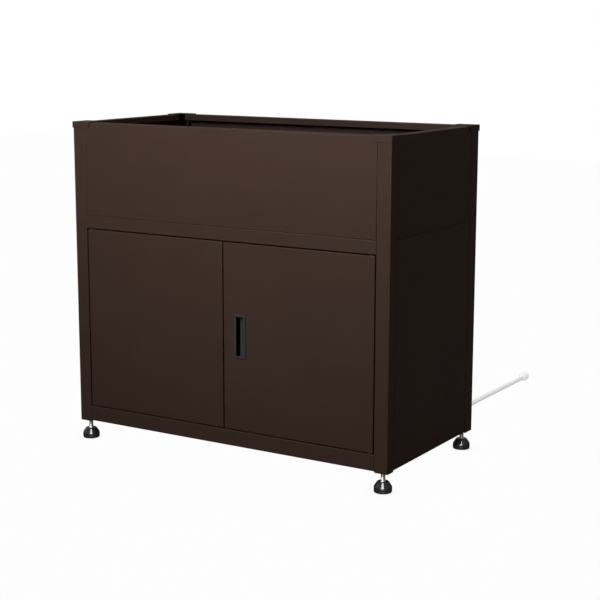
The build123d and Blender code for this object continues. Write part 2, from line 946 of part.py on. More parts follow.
def foot_base():
    """Front left base."""
    toe_r = 3.0                       # rounding of the lower edge
    brow_z = 15.5                     # top of the upright wall
    neck = (-foot_x + 14.0, base_h - 0.7)
    # from the neck in to the socket and down to the floor: radius, z
    inner_profile = [
        (12.6, base_h),
        (well_r + 0.6, base_h),
        (well_r, base_h - 0.6),
        (well_r, z_collar),
        (stem_r, z_collar),
        (stem_r, disc_z1),
        (disc_r, disc_z1),
        (disc_r, disc_z0),
        (0, disc_z0),
        (0, 0),
    ]
    wall_x = -foot_x + base_r
    with BuildPart() as base:
        with BuildSketch(foot_plane):
            with BuildLine():
                Polyline((-foot_x, 0), (wall_x - toe_r, 0))
                TangentArc((wall_x - toe_r, 0), (wall_x, toe_r), tangent=(1, 0))
                Polyline((wall_x, toe_r), (wall_x, brow_z))
                Spline(
                    (wall_x, brow_z),
                    (-foot_x + 20.0, 22.4),
                    neck,
                    tangents=((0, 1), (-1, 0.5)),
                )
                Polyline(neck, *[(-foot_x + r, z) for r, z in inner_profile])
            make_face()
        revolve(axis=foot_axis)
    return base.part


keep("foot_plates", plates())
keep("foot_nuts", stem_nuts())
for name, front_left in (("foot_stem", foot_stem()), ("foot_base", foot_base())):
    keep_pair(f"{name}_front", front_left)
    keep_pair(f"{name}_rear", mirrored(front_left, Plane.XZ))


# ===========================================================================
# Drain: fitting in the deck, flexible hose, straight pipe out through the rear
# ===========================================================================
def fitting():
    # radius from the drain's axis, z
    profile = [
        (pipe_bore, z_dish + 2.2),
        (9.5, z_dish + 3.2),
        (20, z_dish + 2.6),
        (22, z_dish + 1.0),
        (22, z_dish),
        (12, z_dish),
        (12, z_dish - 16),
        (pipe_r, z_dish - 18),
        (pipe_r, z_deck - 62),
        (pipe_bore, z_deck - 62),
    ]
    with BuildPart() as body:
        with BuildSketch(drain_plane):
            with BuildLine():
                Polyline(*[(drain_x + r, z) for r, z in profile], close=True)
            make_face()
        revolve(axis=drain_axis)
        # strainer bars across the inlet
        with Locations((drain_x, drain_y, z_dish + 1.4)):
            Box(14, 1.6, 1.6)
            Box(1.6, 14, 1.6)
    return body.part


def fitting_nut():
    height = 8.0
    with BuildPart() as body:
        with BuildSketch(Plane.XY.offset(z_dish - sheet - height)):
            with Locations((drain_x, drain_y)):
                RegularPolygon(radius=17, side_count=8, major_radius=False)
                Circle(12.05, mode=Mode.SUBTRACT)
        extrude(amount=height)
    return body.part


def hose():
    z_start = z_deck - 32
    bend_start = (drain_x, drain_y, z_deck - 66)
    bend_end = (pipe_x, pipe_y0 - 6, pipe_z)
    with BuildPart() as body:
        with BuildLine() as path:
            Line((drain_x, drain_y, z_start), bend_start)
            Bezier(bend_start, (drain_x, drain_y, 300), (pipe_x, 60, pipe_z), bend_end)
            Line(bend_end, (pipe_x, pipe_y0 + 22, pipe_z))
        with BuildSketch(Plane.XY.offset(z_start)):
            with Locations((drain_x, drain_y)):
                Circle(hose_r)
                Circle(sleeve_bore, mode=Mode.SUBTRACT)
        sweep(path=path.line)
    return body.part


def clamps():
    """A band with a block on its left side at each end of the hose."""
    band_w = 8.0
    z_band = z_deck - 50
    y_band = pipe_y0 + 4
    block_dx = 12.2
    with BuildPart() as pair:
        for plane, centre, amount in (
            (Plane.XY.offset(z_band), (drain_x, drain_y), band_w),
            (Plane.XZ.offset(-y_band), (pipe_x, pipe_z), -band_w),
        ):
            with BuildSketch(plane):
                with Locations(centre):
                    Circle(11.4)
                    Circle(hose_r + 0.05, mode=Mode.SUBTRACT)
            extrude(amount=amount)
        with Locations(
            (drain_x - block_dx, drain_y, z_band + band_w / 2),
            (pipe_x - block_dx, y_band + band_w / 2, pipe_z),
        ):
            Box(3.4, 7, 7)
    return pair.part


def pipe():
    with BuildPart() as body:
        with BuildSketch(Plane.XZ.offset(-pipe_y0)):
            with Locations((pipe_x, pipe_z)):
                Circle(pipe_r)
                Circle(pipe_bore, mode=Mode.SUBTRACT)
        extrude(amount=-(pipe_y1 - pipe_y0))
    return body.part


def round_pipe(profile):
    """Turn a profile of (y, radius) points about the pipe's axis."""
    return turned(pipe_plane, [(y, pipe_z + r) for y, r in profile], pipe_axis)


# y, radius from the pipe's axis
socket_profile = [
    (pipe_y1 - 18, sleeve_bore),
    (pipe_y1 - 18, 10.5),
    (pipe_y1 - 8, 10.5),
    (pipe_y1 - 5, 13.0),
    (pipe_y1 + 10, 13.0),
    (pipe_y1 + 11, 12.0),
    (pipe_y1 + 11, 10.5),
    (pipe_y1 + 0.1, 10.5),
    (pipe_y1 + 0.1, sleeve_bore),
]
grommet_profile = [
    (y_out - sheet - 3, sleeve_bore),
    (y_out - sheet - 3, 11.7),
    (y_out - sheet, 11.7),
    (y_out - sheet, grommet_hole_r),
    (y_out, grommet_hole_r),
    (y_out, 13.6),
    (y_out + 3.0, 12.4),
    (y_out + 3.0, sleeve_bore),
]

keep("drain_fitting", fitting())
keep("drain_nut", fitting_nut())
keep("drain_hose", hose())
keep("hose_clamps", clamps())
keep("drain_pipe", pipe())
keep("pipe_end_socket", round_pipe(socket_profile))
keep("pipe_grommet", round_pipe(grommet_profile))


# ===========================================================================
# Fasteners
# ===========================================================================
def stud_nuts():
    """Nuts on the cap studs, against the inner faces of the posts."""
    x_in = x_out - sheet
    y_in = y_out - sheet
    with BuildPart() as nuts:
        # rear, front, left and right faces
        for plane, reach, amount in (
            (Plane.XZ.offset(-y_in), x_stud, nut_h),
            (Plane.XZ.offset(y_in), x_stud, -nut_h),
            (Plane.YZ.offset(-x_in), y_stud, nut_h),
            (Plane.YZ.offset(x_in), y_stud, -nut_h),
        ):
            with BuildSketch(plane):
                with Locations(*[(side * reach, z_stud) for side in (-1, 1)]):
                    RegularPolygon(radius=nut_r, side_count=6, major_radius=False)
                    Circle(nut_bore, mode=Mode.SUBTRACT)
            extrude(amount=amount)
    return nuts.part


def pan_screw():
    """Screw standing on Z: head above z = 0, shank below."""
    profile = [(0, -8), (2, -8), (2, 0), (4, 0), (4, 1.4), (2.6, 2.6), (0, 2.6)]
    return turned(Plane.XZ, profile, Axis.Z)


def hex_nut():
    """Nut hanging below z = 0."""
    with BuildPart() as body:
        with BuildSketch(Plane.XY):
            RegularPolygon(radius=nut_r, side_count=6, major_radius=False)
            Circle(nut_bore, mode=Mode.SUBTRACT)
        extrude(amount=-nut_h)
    return body.part


def fastener_set(item, into_post, front_seam_z, other_seam_z):
    """One item at every screw place: shifted by into_post from the panel's edge
    towards the post, and set at the given heights along the seams."""
    with BuildPart() as items:
        # through the front and rear returns of the posts
        for end, heights in ((-1, z_front_post), (1, z_rear_post)):
            for side in (-1, 1):
                for z in heights:
                    place = (side * (x_jamb + into_post), end * y_edge, z)
                    with Locations(Location(place, (0, -side * 90, 0))):
                        add(item)
        # through the side returns of the posts
        for side in (-1, 1):
            for end, y_side in post_ends:
                for z in z_low + z_up:
                    place = (side * x_edge, y_side + end * into_post, z)
                    with Locations(Location(place, (end * 90, 0, 0))):
                        add(item)
        # along the front, rear and side seams
        seams = [(x, -y_edge, front_seam_z) for x in x_row]
        seams += [(x, y_edge, other_seam_z) for x in x_row]
        seams += [(side * x_edge, y, other_seam_z) for side in (-1, 1) for y in y_row]
        for place in seams:
            with Locations(place):
                add(item)
    return items.part


keep("cap_nuts", stud_nuts())
# heads on the panel's side of the folds, nuts inside the posts and under the seams
keep("panel_screws", fastener_set(pan_screw(), -sheet, z_seam + sheet, z_seam + sheet))
keep("panel_nuts", fastener_set(hex_nut(), sheet, z_seam - sheet, z_seam - 2 * sheet))

# ===========================================================================
# One STEP file per piece
# ===========================================================================
for part in pieces:
    export_step(part, f"parts/{part.label}.step")
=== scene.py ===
# A two-door sheet-metal cabinet: powder-coated posts, panels and rails round a tank deck,
# four screw feet, and a drain hose and pipe inside.
# The front faces -Y, +Z is up and the feet stand on z = 0.
import json
import math
import random

import bmesh
import bpy
from mathutils import Matrix, Vector


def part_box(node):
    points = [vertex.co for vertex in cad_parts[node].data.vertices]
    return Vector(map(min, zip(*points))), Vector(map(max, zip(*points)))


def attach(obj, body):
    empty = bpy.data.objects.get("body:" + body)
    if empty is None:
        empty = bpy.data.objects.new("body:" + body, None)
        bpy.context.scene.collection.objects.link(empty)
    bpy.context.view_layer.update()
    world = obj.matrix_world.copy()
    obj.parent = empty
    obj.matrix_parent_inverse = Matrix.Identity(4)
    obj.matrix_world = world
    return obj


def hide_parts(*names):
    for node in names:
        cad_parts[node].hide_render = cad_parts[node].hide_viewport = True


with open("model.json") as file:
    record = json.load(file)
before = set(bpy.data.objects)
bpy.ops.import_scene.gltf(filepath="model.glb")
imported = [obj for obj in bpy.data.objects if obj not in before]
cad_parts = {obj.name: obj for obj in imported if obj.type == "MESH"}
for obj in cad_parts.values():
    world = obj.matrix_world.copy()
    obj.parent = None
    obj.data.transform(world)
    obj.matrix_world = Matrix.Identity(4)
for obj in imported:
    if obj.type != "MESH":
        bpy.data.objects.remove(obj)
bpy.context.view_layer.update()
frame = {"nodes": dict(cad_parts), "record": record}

scene = bpy.context.scene
nodes = frame["nodes"]
MM = 0.001
CORNERS = ("front_left", "front_right", "rear_left", "rear_right")


# ---------------------------------------------------------------------------
# Node helpers
# ---------------------------------------------------------------------------
def empty_tree(owner):
    """The cleared node tree of a material or world."""
    owner.use_nodes = True
    owner.node_tree.nodes.clear()
    return owner.node_tree


def add_node(tree, kind, inputs, **properties):
    """Adds a node; inputs maps socket names or indices to values or to sockets to link."""
    node = tree.nodes.new("ShaderNode" + kind)
    for key, value in properties.items():
        setattr(node, key, value)
    for key, value in inputs.items():
        fill(tree, node.inputs[key], value)
    return node


def fill(tree, socket, value):
    if hasattr(value, "is_output"):
        tree.links.new(value, socket)
    else:
        socket.default_value = value


def map_range(tree, value, span, to):
    return add_node(tree, "MapRange", dict(enumerate((value, *span, *to)))).outputs[0]


class Surface:
    """A Principled material; its methods add nodes and return their output sockets."""

    INPUTS = {
        "base": "Base Color", "rough": "Roughness", "metal": "Metallic",
        "spec": "Specular IOR Level", "coat": "Coat Weight", "coat_rough": "Coat Roughness",
        "sub": "Subsurface Weight", "sub_scale": "Subsurface Scale",
        "trans": "Transmission Weight", "ior": "IOR",
        "glow_colour": "Emission Color", "glow": "Emission Strength",
    }

    def __init__(self, name):
        self.material = bpy.data.materials.new(name)
        self.tree = empty_tree(self.material)
        output = self.node("OutputMaterial", {})
        self.bsdf = self.node("BsdfPrincipled", {})
        fill(self.tree, output.inputs["Surface"], self.bsdf.outputs[0])
        self.coord = self.node("TexCoord", {}).outputs["Object"]
        self.bumped = None

    def node(self, kind, inputs, **properties):
        return add_node(self.tree, kind, inputs, **properties)

    def set(self, **values):
        for key, value in values.items():
            fill(self.tree, self.bsdf.inputs[self.INPUTS[key]], value)

    def mapped(self, scale=(1, 1, 1), offset=(0, 0, 0), rot=(0, 0, 0)):
        return self.node("Mapping", {"Scale": scale, "Location": offset, "Rotation": rot,
                                     "Vector": self.coord}).outputs[0]

    def noise(self, scale, detail=2.0, rough=0.5, vector=None, distortion=0.0):
        return self.node("TexNoise", {"Scale": scale, "Detail": detail, "Roughness": rough,
                                      "Distortion": distortion,
                                      "Vector": vector or self.coord}).outputs["Fac"]

    def cells(self, scale, vector=None):
        """Distance to the nearest Voronoi point."""
        return self.node("TexVoronoi", {"Scale": scale,
                                        "Vector": vector or self.coord}).outputs["Distance"]

    def remap(self, value, span=(0.3, 0.7), to=(0.0, 1.0)):
        """Maps span on to another range; the default span is the usual spread of noise."""
        return map_range(self.tree, value, span, to)

    def math(self, operation, a, b, clamp=False):
        return self.node("Math", {0: a, 1: b}, operation=operation, use_clamp=clamp).outputs[0]

    def add(self, a, b, clamp=False):
        return self.math("ADD", a, b, clamp)

    def subtract(self, a, b):
        return self.math("SUBTRACT", a, b)

    def multiply(self, a, b, clamp=False):
        return self.math("MULTIPLY", a, b, clamp)

    def mix(self, factor, a, b):
        """Mixes two colours, each a socket or an RGB triple."""
        a, b = (v if hasattr(v, "is_output") else (*v, 1.0) for v in (a, b))
        return self.node("Mix", {0: factor, 6: a, 7: b}, data_type="RGBA").outputs[2]

    def scale_colour(self, colour, factor):
        return self.node("VectorMath", {0: colour, "Scale": factor}, operation="SCALE").outputs[0]

    def edge(self, radius):
        """1 on edges, 0 on flat areas."""
        bevel = self.node("Bevel", {"Radius": radius}, samples=4)
        geometry = self.node("NewGeometry", {})
        dot = self.node("VectorMath", {0: bevel.outputs[0], 1: geometry.outputs["Normal"]},
                        operation="DOT_PRODUCT")
        return self.remap(self.subtract(1.0, dot.outputs["Value"]), span=(0.0, 0.45))

    def part(self, vector, axis):
        return self.node("SeparateXYZ", {0: vector}).outputs[axis]

    def normal_part(self, axis):
        return self.part(self.node("NewGeometry", {}).outputs["Normal"], axis)

    def up(self):
        """1 on faces that look upwards."""
        return self.remap(self.normal_part("Z"), span=(0.6, 0.98))

    def bump(self, height, strength, distance):
        """Adds a bump on top of those already made."""
        inputs = {"Strength": strength, "Distance": distance, "Height": height}
        if self.bumped is not None:
            inputs["Normal"] = self.bumped
        self.bumped = self.node("Bump", inputs).outputs[0]
        fill(self.tree, self.bsdf.inputs["Normal"], self.bumped)


# ---------------------------------------------------------------------------
# Materials
# ---------------------------------------------------------------------------
COAT = (0.0410, 0.0232, 0.0178)
WARM = (0.0435, 0.0240, 0.0180)


def powder_coat(name, seed, rough, base=COAT, warm=WARM, wave=0.10, inner_shade=1.0, spec=0.10):
    """Satin brown powder coat on folded sheet: orange peel, slow tone drift, slightly oil-canned
    flats, thinner and shinier on the folds with a painted highlight lightening them, faint dust,
    and optional painted shade on faces turned inwards."""
    mat = Surface(name)
    at = mat.mapped(offset=(3.1 * seed, 1.7 * seed, 2.3 * seed))
    drift = mat.noise(scale=1.9, detail=3.0, rough=0.55, vector=at)
    cloud = mat.noise(scale=9.0, detail=4.0, rough=0.6, vector=at)
    speck = mat.noise(scale=1400.0, detail=1.0, vector=at)
    fleck = mat.cells(scale=620.0, vector=at)
    patches = mat.noise(scale=55.0, detail=3.0, rough=0.6, vector=at)
    # lighter folds: partly a thinner coat, partly a painted highlight
    wear_and_highlight = mat.multiply(mat.edge(radius=0.0016),
                        mat.remap(patches, span=(0.35, 0.7), to=(0.25, 1.0)), clamp=True)
    gain = mat.multiply(mat.remap(cloud, to=(0.955, 1.045)), mat.remap(speck, to=(0.90, 1.10)))
    gain = mat.multiply(gain, mat.remap(fleck, span=(0.0, 0.5), to=(1.10, 0.97)))
    gain = mat.multiply(gain, mat.remap(wear_and_highlight, span=(0.0, 1.0), to=(1.0, 1.32)))
    if inner_shade < 1.0:
        # painted shade: on the rear parts, faces turned inwards (-Y) are darkened
        turned = mat.normal_part("Y")
        gain = mat.multiply(gain, mat.remap(turned, span=(-0.9, 0.0), to=(inner_shade, 1.0)))
    colour = mat.scale_colour(mat.mix(mat.remap(drift), base, warm), gain)
    settled = mat.noise(scale=26.0, detail=5.0, rough=0.65, vector=at)
    dust = mat.multiply(mat.up(), mat.remap(settled, span=(0.42, 0.75), to=(0.0, 0.045)))
    colour = mat.mix(dust, colour, (0.20, 0.17, 0.15))
    # wiping marks: long soft streaks that only change the sheen
    wiped = mat.mapped(scale=(1.0, 1.0, 7.0), offset=(seed, 2 * seed, 0.5), rot=(0.3, 0.5, 0.2))
    streak = mat.noise(scale=5.0, detail=3.0, rough=0.6, vector=wiped)
    sheen = mat.add(mat.remap(streak, to=(rough - 0.045, rough + 0.045)),
                    mat.remap(speck, to=(-0.03, 0.03)))
    sheen = mat.subtract(sheen, mat.multiply(wear_and_highlight, 0.10))
    sheen = mat.add(sheen, mat.multiply(dust, 1.5), clamp=True)
    mat.set(base=colour, rough=sheen,
            spec=mat.remap(mat.up(), span=(0.0, 1.0), to=(spec, spec * 0.15)))
    canning = mat.noise(scale=2.6, detail=1.0, rough=0.4, vector=at)
    peel = mat.noise(scale=430.0, rough=0.55, vector=at)
    mat.bump(canning, strength=wave, distance=0.012)
    mat.bump(peel, strength=0.16, distance=0.0006)
    mat.bump(speck, strength=0.10, distance=0.00015)
    return mat.material


def zinc_steel(name, seed, dark=1.0):
    """Bright zinc plate: faint spangle, drawn-wire scratches, duller in places."""
    mat = Surface(name)
    at = mat.mapped(offset=(1.3 * seed, 0.4, 0.9 * seed))
    spangle = mat.cells(scale=420.0, vector=at)
    haze = mat.noise(scale=90.0, detail=4.0, rough=0.6, vector=at)
    drawn = mat.mapped(scale=(1.0, 1.0, 0.06), rot=(0.4, 0.2, 0.0))
    scratch = mat.noise(scale=900.0, rough=0.6, vector=drawn)
    colour = mat.mix(mat.remap(haze, span=(0.35, 0.7)), (0.60 * dark, 0.60 * dark, 0.60 * dark),
                     (0.44 * dark, 0.45 * dark, 0.47 * dark))
    colour = mat.scale_colour(colour, mat.remap(spangle, span=(0.0, 0.6), to=(1.08, 0.92)))
    colour = mat.mix(mat.multiply(mat.edge(radius=0.0005), 0.5), colour, (0.78, 0.78, 0.77))
    rough = mat.add(mat.remap(haze, to=(0.24, 0.42)),
                    mat.remap(scratch, span=(0.35, 0.65), to=(-0.04, 0.06)))
    mat.set(base=colour, rough=rough, metal=1.0)
    mat.bump(scratch, strength=0.12, distance=0.00008)
    mat.bump(spangle, strength=0.06, distance=0.0001)
    return mat.material


def bright_steel(name):
    """Polished plated thread, hazy in places."""
    mat = Surface(name)
    haze = mat.noise(scale=160.0, detail=4.0, rough=0.6)
    fine = mat.noise(scale=2200.0, detail=1.0, vector=mat.mapped(scale=(1.0, 1.0, 4.0)))
    colour = mat.mix(mat.remap(haze, span=(0.4, 0.75), to=(0.0, 0.7)),
                     (0.78, 0.76, 0.745), (0.58, 0.56, 0.545))
    colour = mat.mix(mat.multiply(mat.edge(radius=0.0004), 0.6), colour, (0.82, 0.81, 0.80))
    rough = mat.add(mat.remap(haze, to=(0.34, 0.46)), mat.remap(fine, to=(-0.03, 0.04)))
    mat.set(base=colour, rough=rough, metal=1.0)
    mat.bump(fine, strength=0.10, distance=0.00005)
    return mat.material


def foot_plastic(name):
    """Glossy injection-moulded black nylon: soft flow marks, scuffs at the rim."""
    mat = Surface(name)
    flow = mat.noise(scale=60.0, detail=3.0, vector=mat.mapped(scale=(1.0, 1.0, 2.5)),
                     distortion=0.6)
    scuff = mat.noise(scale=700.0, detail=4.0, rough=0.65,
                      vector=mat.mapped(scale=(1.0, 1.0, 0.25)))
    low = mat.remap(mat.part(mat.coord, "Z"), span=(0.0, 0.014), to=(1.0, 0.0))
    exposed = mat.add(mat.multiply(low, 0.6), mat.edge(radius=0.0009), clamp=True)
    wear = mat.multiply(mat.remap(scuff, span=(0.5, 0.72)), exposed)
    colour = mat.mix(mat.remap(flow), (0.0035, 0.0034, 0.0034), (0.0060, 0.0058, 0.0058))
    colour = mat.mix(mat.multiply(wear, 0.30), colour, (0.040, 0.039, 0.037))
    rough = mat.add(mat.remap(flow, to=(0.11, 0.16)), mat.multiply(wear, 0.30))
    mat.set(base=colour, rough=rough, spec=0.55, coat=0.25, coat_rough=0.08)
    mat.bump(flow, strength=0.004, distance=0.0003)
    mat.bump(scuff, strength=0.010, distance=0.00006)
    return mat.material


# Where the door pull's pocket shades, in metres
POCKET_MOUTH_Y = (-0.2494, -0.2480)
POCKET_RAMP_Y = (-0.2490, -0.2400)
UNDERCUT_X = (0.0445, 0.0475)


def pull_plastic(name):
    """Spark-eroded dark grey moulding, polished by fingers on its raised frame; painted shade
    darkens the undercut of the scooped pocket, and a painted light brightens its ramp."""
    mat = Surface(name)
    grain = mat.cells(scale=1500.0)
    fine = mat.noise(scale=2600.0, rough=0.6)
    hand = mat.noise(scale=38.0, detail=3.0, rough=0.6)
    edge = mat.edge(radius=0.0010)
    colour = mat.mix(mat.remap(fine), (0.0215, 0.0212, 0.0205), (0.0300, 0.0295, 0.0287))
    colour = mat.mix(mat.multiply(edge, 0.45), colour, (0.052, 0.051, 0.049))
    # painted shade makes the undercut left of the ramp near black and takes away its specular; a
    # painted light makes the ramp itself paler
    inner_shade = mat.remap(mat.part(mat.coord, "Y"), span=POCKET_MOUTH_Y)
    left = mat.remap(mat.part(mat.coord, "X"), span=UNDERCUT_X, to=(0.02, 1.0))
    unshaded = mat.math("MAXIMUM", left, mat.subtract(1.0, inner_shade))
    # painted light: the ramp grows brighter deeper into the pocket
    ramp_light = mat.remap(mat.part(mat.coord, "Y"), span=POCKET_RAMP_Y, to=(1.0, 1.5))
    colour = mat.scale_colour(colour, mat.multiply(unshaded, ramp_light))
    rough = mat.subtract(mat.remap(hand, to=(0.42, 0.58)), mat.multiply(edge, 0.12))
    mat.set(base=colour, rough=rough, spec=mat.multiply(unshaded, 0.30))
    mat.bump(grain, strength=0.18, distance=0.00012)
    mat.bump(fine, strength=0.12, distance=0.00008)
    return mat.material


def pipe_plastic(name, seed=0.0, trans=0.0, glow=0.55):
    """Extruded milky white pipe: fine die lines along it, slightly translucent; a painted glow,
    stronger on top, stands in for its lighting.
    """
    mat = Surface(name)
    mottle = mat.noise(scale=30.0)
    grime = mat.noise(scale=18.0, detail=5.0, rough=0.65,
                      vector=mat.mapped(offset=(0.4 + seed, 0.7, 0.1)))
    colour = mat.mix(mat.remap(mottle), (0.87, 0.875, 0.875), (0.82, 0.825, 0.82))
    colour = mat.mix(mat.remap(grime, span=(0.58, 0.85), to=(0.0, 0.12)), colour,
                     (0.60, 0.58, 0.54))
    if trans:
        mat.set(trans=trans, ior=1.28, rough=mat.remap(grime, span=(0.3, 0.8), to=(0.05, 0.16)))
    else:
        along = mat.mapped(scale=(1.0, 0.02, 1.0), offset=(seed, 0.0, 0.0))
        die_lines = mat.noise(scale=1100.0, vector=along)
        mat.set(rough=mat.add(mat.remap(die_lines, to=(0.24, 0.34)),
                              mat.remap(grime, span=(0.5, 0.8), to=(0.0, 0.12))))
    # painted light: the wall glows all round, more on the upper side, standing in for the light
    # that falls on the pipe
    painted_glow = mat.remap(mat.normal_part("Z"), span=(-0.9, 0.5), to=(glow * 0.62, glow))
    mat.set(base=colour, spec=0.4, glow_colour=colour, glow=painted_glow)
    ripple = mat.noise(scale=60.0, detail=1.0, rough=0.4,
                       vector=mat.mapped(scale=(1.0, 0.1, 1.0), offset=(seed, 0.0, 0.0)))
    mat.bump(ripple, strength=0.05, distance=0.0006)
    return mat.material


def moulded(name, tones, wear, rough, spec, grain, sub=0.0):
    """Plain moulding with fine grain, drift between two tones and rubbed edges."""
    mat = Surface(name)
    fine = mat.noise(scale=grain, rough=0.6)
    drift = mat.noise(scale=45.0, detail=4.0, rough=0.6)
    colour = mat.mix(mat.remap(drift), *tones)
    colour = mat.scale_colour(colour, mat.remap(fine, to=(0.94, 1.06)))
    colour = mat.mix(mat.multiply(mat.edge(radius=0.0006), 0.35), colour, wear)
    sheen = mat.add(mat.remap(drift, to=(rough - 0.06, rough + 0.06)),
                    mat.remap(fine, to=(-0.03, 0.03)))
    mat.set(base=colour, rough=sheen, spec=spec)
    if sub:
        mat.set(sub=sub, sub_scale=0.003)
    mat.bump(fine, strength=0.10, distance=0.0001)
    mat.bump(drift, strength=0.05, distance=0.0005)
    return mat.material


def rubber(name):
    """Matt black rubber with a pale bloom."""
    mat = Surface(name)
    fine = mat.noise(scale=1800.0, detail=3.0, rough=0.65)
    bloom = mat.noise(scale=70.0, detail=5.0, rough=0.7)
    colour = mat.mix(mat.remap(bloom, span=(0.45, 0.8), to=(0.0, 0.6)),
                     (0.012, 0.012, 0.012), (0.045, 0.043, 0.041))
    mat.set(base=colour, rough=mat.remap(fine, to=(0.62, 0.84)), spec=0.3)
    mat.bump(fine, strength=0.2, distance=0.0001)
    return mat.material


# finish: (material, slot, width in mm of the softened sheet edges or None)
FINISH = {
    "coat_front": (powder_coat("powder_coat_front", seed=0.37, rough=0.44), "powder_coat", 0.35),
    "coat_side": (powder_coat("powder_coat_side", seed=1.91, rough=0.45), "powder_coat", 0.35),
    "coat_door": (powder_coat("powder_coat_door", seed=2.73, rough=0.43), "powder_coat", 0.35),
    "coat_cap": (powder_coat("powder_coat_cap", seed=3.30, rough=0.42, wave=0.04),
                 "powder_coat", 0.4),
    # the rear coat gets painted shade on its faces turned inwards
    "coat_rear": (powder_coat("powder_coat_rear_painted_shade", seed=5.20, rough=0.45, inner_shade=0.55),
                  "powder_coat", 0.35),
    "coat_inner": (powder_coat("powder_coat_inner", seed=4.40, rough=0.50, wave=0.06,
                               base=(0.037, 0.021, 0.016), warm=(0.040, 0.023, 0.0175)),
                   "powder_coat_inner", 0.3),
    "zinc": (zinc_steel("zinc_steel", seed=0.6), "zinc_steel", 0.25),
    "zinc_plate": (zinc_steel("zinc_steel_plate", seed=1.8, dark=0.85), "zinc_steel", 0.3),
    "bright": (bright_steel("bright_steel"), "bright_steel", None),
    "foot": (foot_plastic("foot_plastic"), "foot_plastic", None),
    "pull": (pull_plastic("pull_plastic"), "pull_plastic", 0.35),
    "pipe": (pipe_plastic("pipe_plastic"), "pipe_plastic", None),
    "socket": (pipe_plastic("socket_plastic", seed=0.7, trans=0.2, glow=0.42),
               "pipe_plastic", None),
    "hose": (moulded("hose_plastic", tones=((0.60, 0.60, 0.585), (0.50, 0.50, 0.485)),
                     wear=(0.66, 0.66, 0.65), rough=0.42, spec=0.45, grain=700.0, sub=0.15),
             "hose_plastic", None),
    "fitting": (moulded("fitting_plastic", tones=((0.72, 0.72, 0.71), (0.64, 0.64, 0.62)),
                        wear=(0.78, 0.78, 0.77), rough=0.36, spec=0.5, grain=900.0, sub=0.1),
                "fitting_plastic", 0.35),
    "nylon": (moulded("bush_nylon", tones=((0.016, 0.016, 0.016), (0.022, 0.021, 0.020)),
                      wear=(0.05, 0.05, 0.05), rough=0.50, spec=0.35, grain=900.0),
              "bush_nylon", 0.25),
    "pin": (zinc_steel("zinc_steel_pin", seed=2.6, dark=0.22), "zinc_steel", None),
    "catch": (moulded("catch_plastic", tones=((0.060, 0.040, 0.031), (0.050, 0.033, 0.026)),
                      wear=(0.11, 0.09, 0.08), rough=0.5, spec=0.4, grain=1200.0),
              "catch_plastic", 0.4),
    "rubber": (rubber("soft_rubber"), "soft_rubber", 0.4),
}

# finish: the CAD nodes that wear it
PARTS = {
    "coat_front": "post_front_left front_apron rail_bottom_front door_right",
    "coat_side": "post_front_right panel_upper_left panel_upper_right panel_lower_rear "
                 "rail_mid_front",
    "coat_door": "panel_lower_left panel_lower_right door_left",
    "coat_cap": "cap_front_left cap_front_right",
    "coat_rear": "post_rear_left post_rear_right cap_rear_left cap_rear_right panel_upper_rear",
    "coat_inner": "rail_mid_rear rail_mid_left rail_mid_right rail_bottom_rear "
                  "rail_bottom_left rail_bottom_right tank_deck deck_stiffeners floor_panel "
                  "floor_stiffener door_stiffener_left door_stiffener_right",
    "zinc": "striker_left striker_right foot_nuts hose_clamps cap_nuts panel_screws panel_nuts",
    "zinc_plate": "foot_plates",
    "bright": " ".join("foot_stem_" + corner for corner in CORNERS),
    "foot": " ".join("foot_base_" + corner for corner in CORNERS),
    "pull": "door_pull",
    "pipe": "drain_pipe",
    "socket": "pipe_end_socket",
    "hose": "drain_hose",
    "fitting": "drain_fitting drain_nut",
    "nylon": "hinge_bushes_left hinge_bushes_right",
    "pin": "hinge_pins",
    "catch": "magnetic_catches",
    "rubber": "door_bumpers pipe_grommet",
}
FINISH_OF = {part: finish for finish, parts in PARTS.items() for part in parts.split()}


def dress(part, finish):
    """Gives an object the material of a finish; returns its edge width."""
    material, slot, edge_width = FINISH[finish]
    part.data.materials.append(material)
    return edge_width


def soften_edges(part, width):
    weld = part.modifiers.new("weld", "WELD")
    weld.merge_threshold = 0.00001
    bevel = part.modifiers.new("soft_edges", "BEVEL")
    bevel.width = width * MM
    bevel.segments = 2
    bevel.limit_method = "ANGLE"
    bevel.angle_limit = math.radians(40)
    bevel.use_clamp_overlap = True
    bevel.harden_normals = False
    bevel.miter_outer = "MITER_ARC"


for node_name, part in nodes.items():
    part.data.materials.clear()
    edge_width = dress(part, FINISH_OF[node_name])
    if edge_width:
        soften_edges(part, edge_width)


# ---------------------------------------------------------------------------
# Mesh helpers: a solid is a pair (verts, faces)
# ---------------------------------------------------------------------------
BODY = {part: body for body, parts in frame["record"]["behaviour"]["bodies"].items()
        for part in parts}


def finish_piece(name, stands_for, finish, solid, sharp):
    """Makes the object, shades it, and lets it stand for its CAD node."""
    verts, faces = solid
    mesh = bpy.data.meshes.new(name)
    mesh.from_pydata([tuple(v) for v in verts], [], faces)
    bm = bmesh.new()
    bm.from_mesh(mesh)
    bmesh.ops.remove_doubles(bm, verts=bm.verts, dist=1e-7)
    bmesh.ops.recalc_face_normals(bm, faces=bm.faces)
    bm.to_mesh(mesh)
    bm.free()
    mesh.shade_smooth()
    mesh.set_sharp_from_angle(angle=math.radians(sharp))
    piece = bpy.data.objects.new(name, mesh)
    scene.collection.objects.link(piece)
    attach(piece, BODY[stands_for])
    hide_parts(stands_for)
    dress(piece, finish)


def clamp(value):
    return min(1.0, max(0.0, value))


def circle_angles(count):
    return [2 * math.pi * i / count for i in range(count)]


def level_ring(centre, radii, z):
    """Horizontal ring about (x, y), one radius in mm for each vertex, z in mm."""
    x, y = centre
    return [Vector((x + radius * MM * math.cos(angle), y + radius * MM * math.sin(angle), z * MM))
            for radius, angle in zip(radii, circle_angles(len(radii)))]


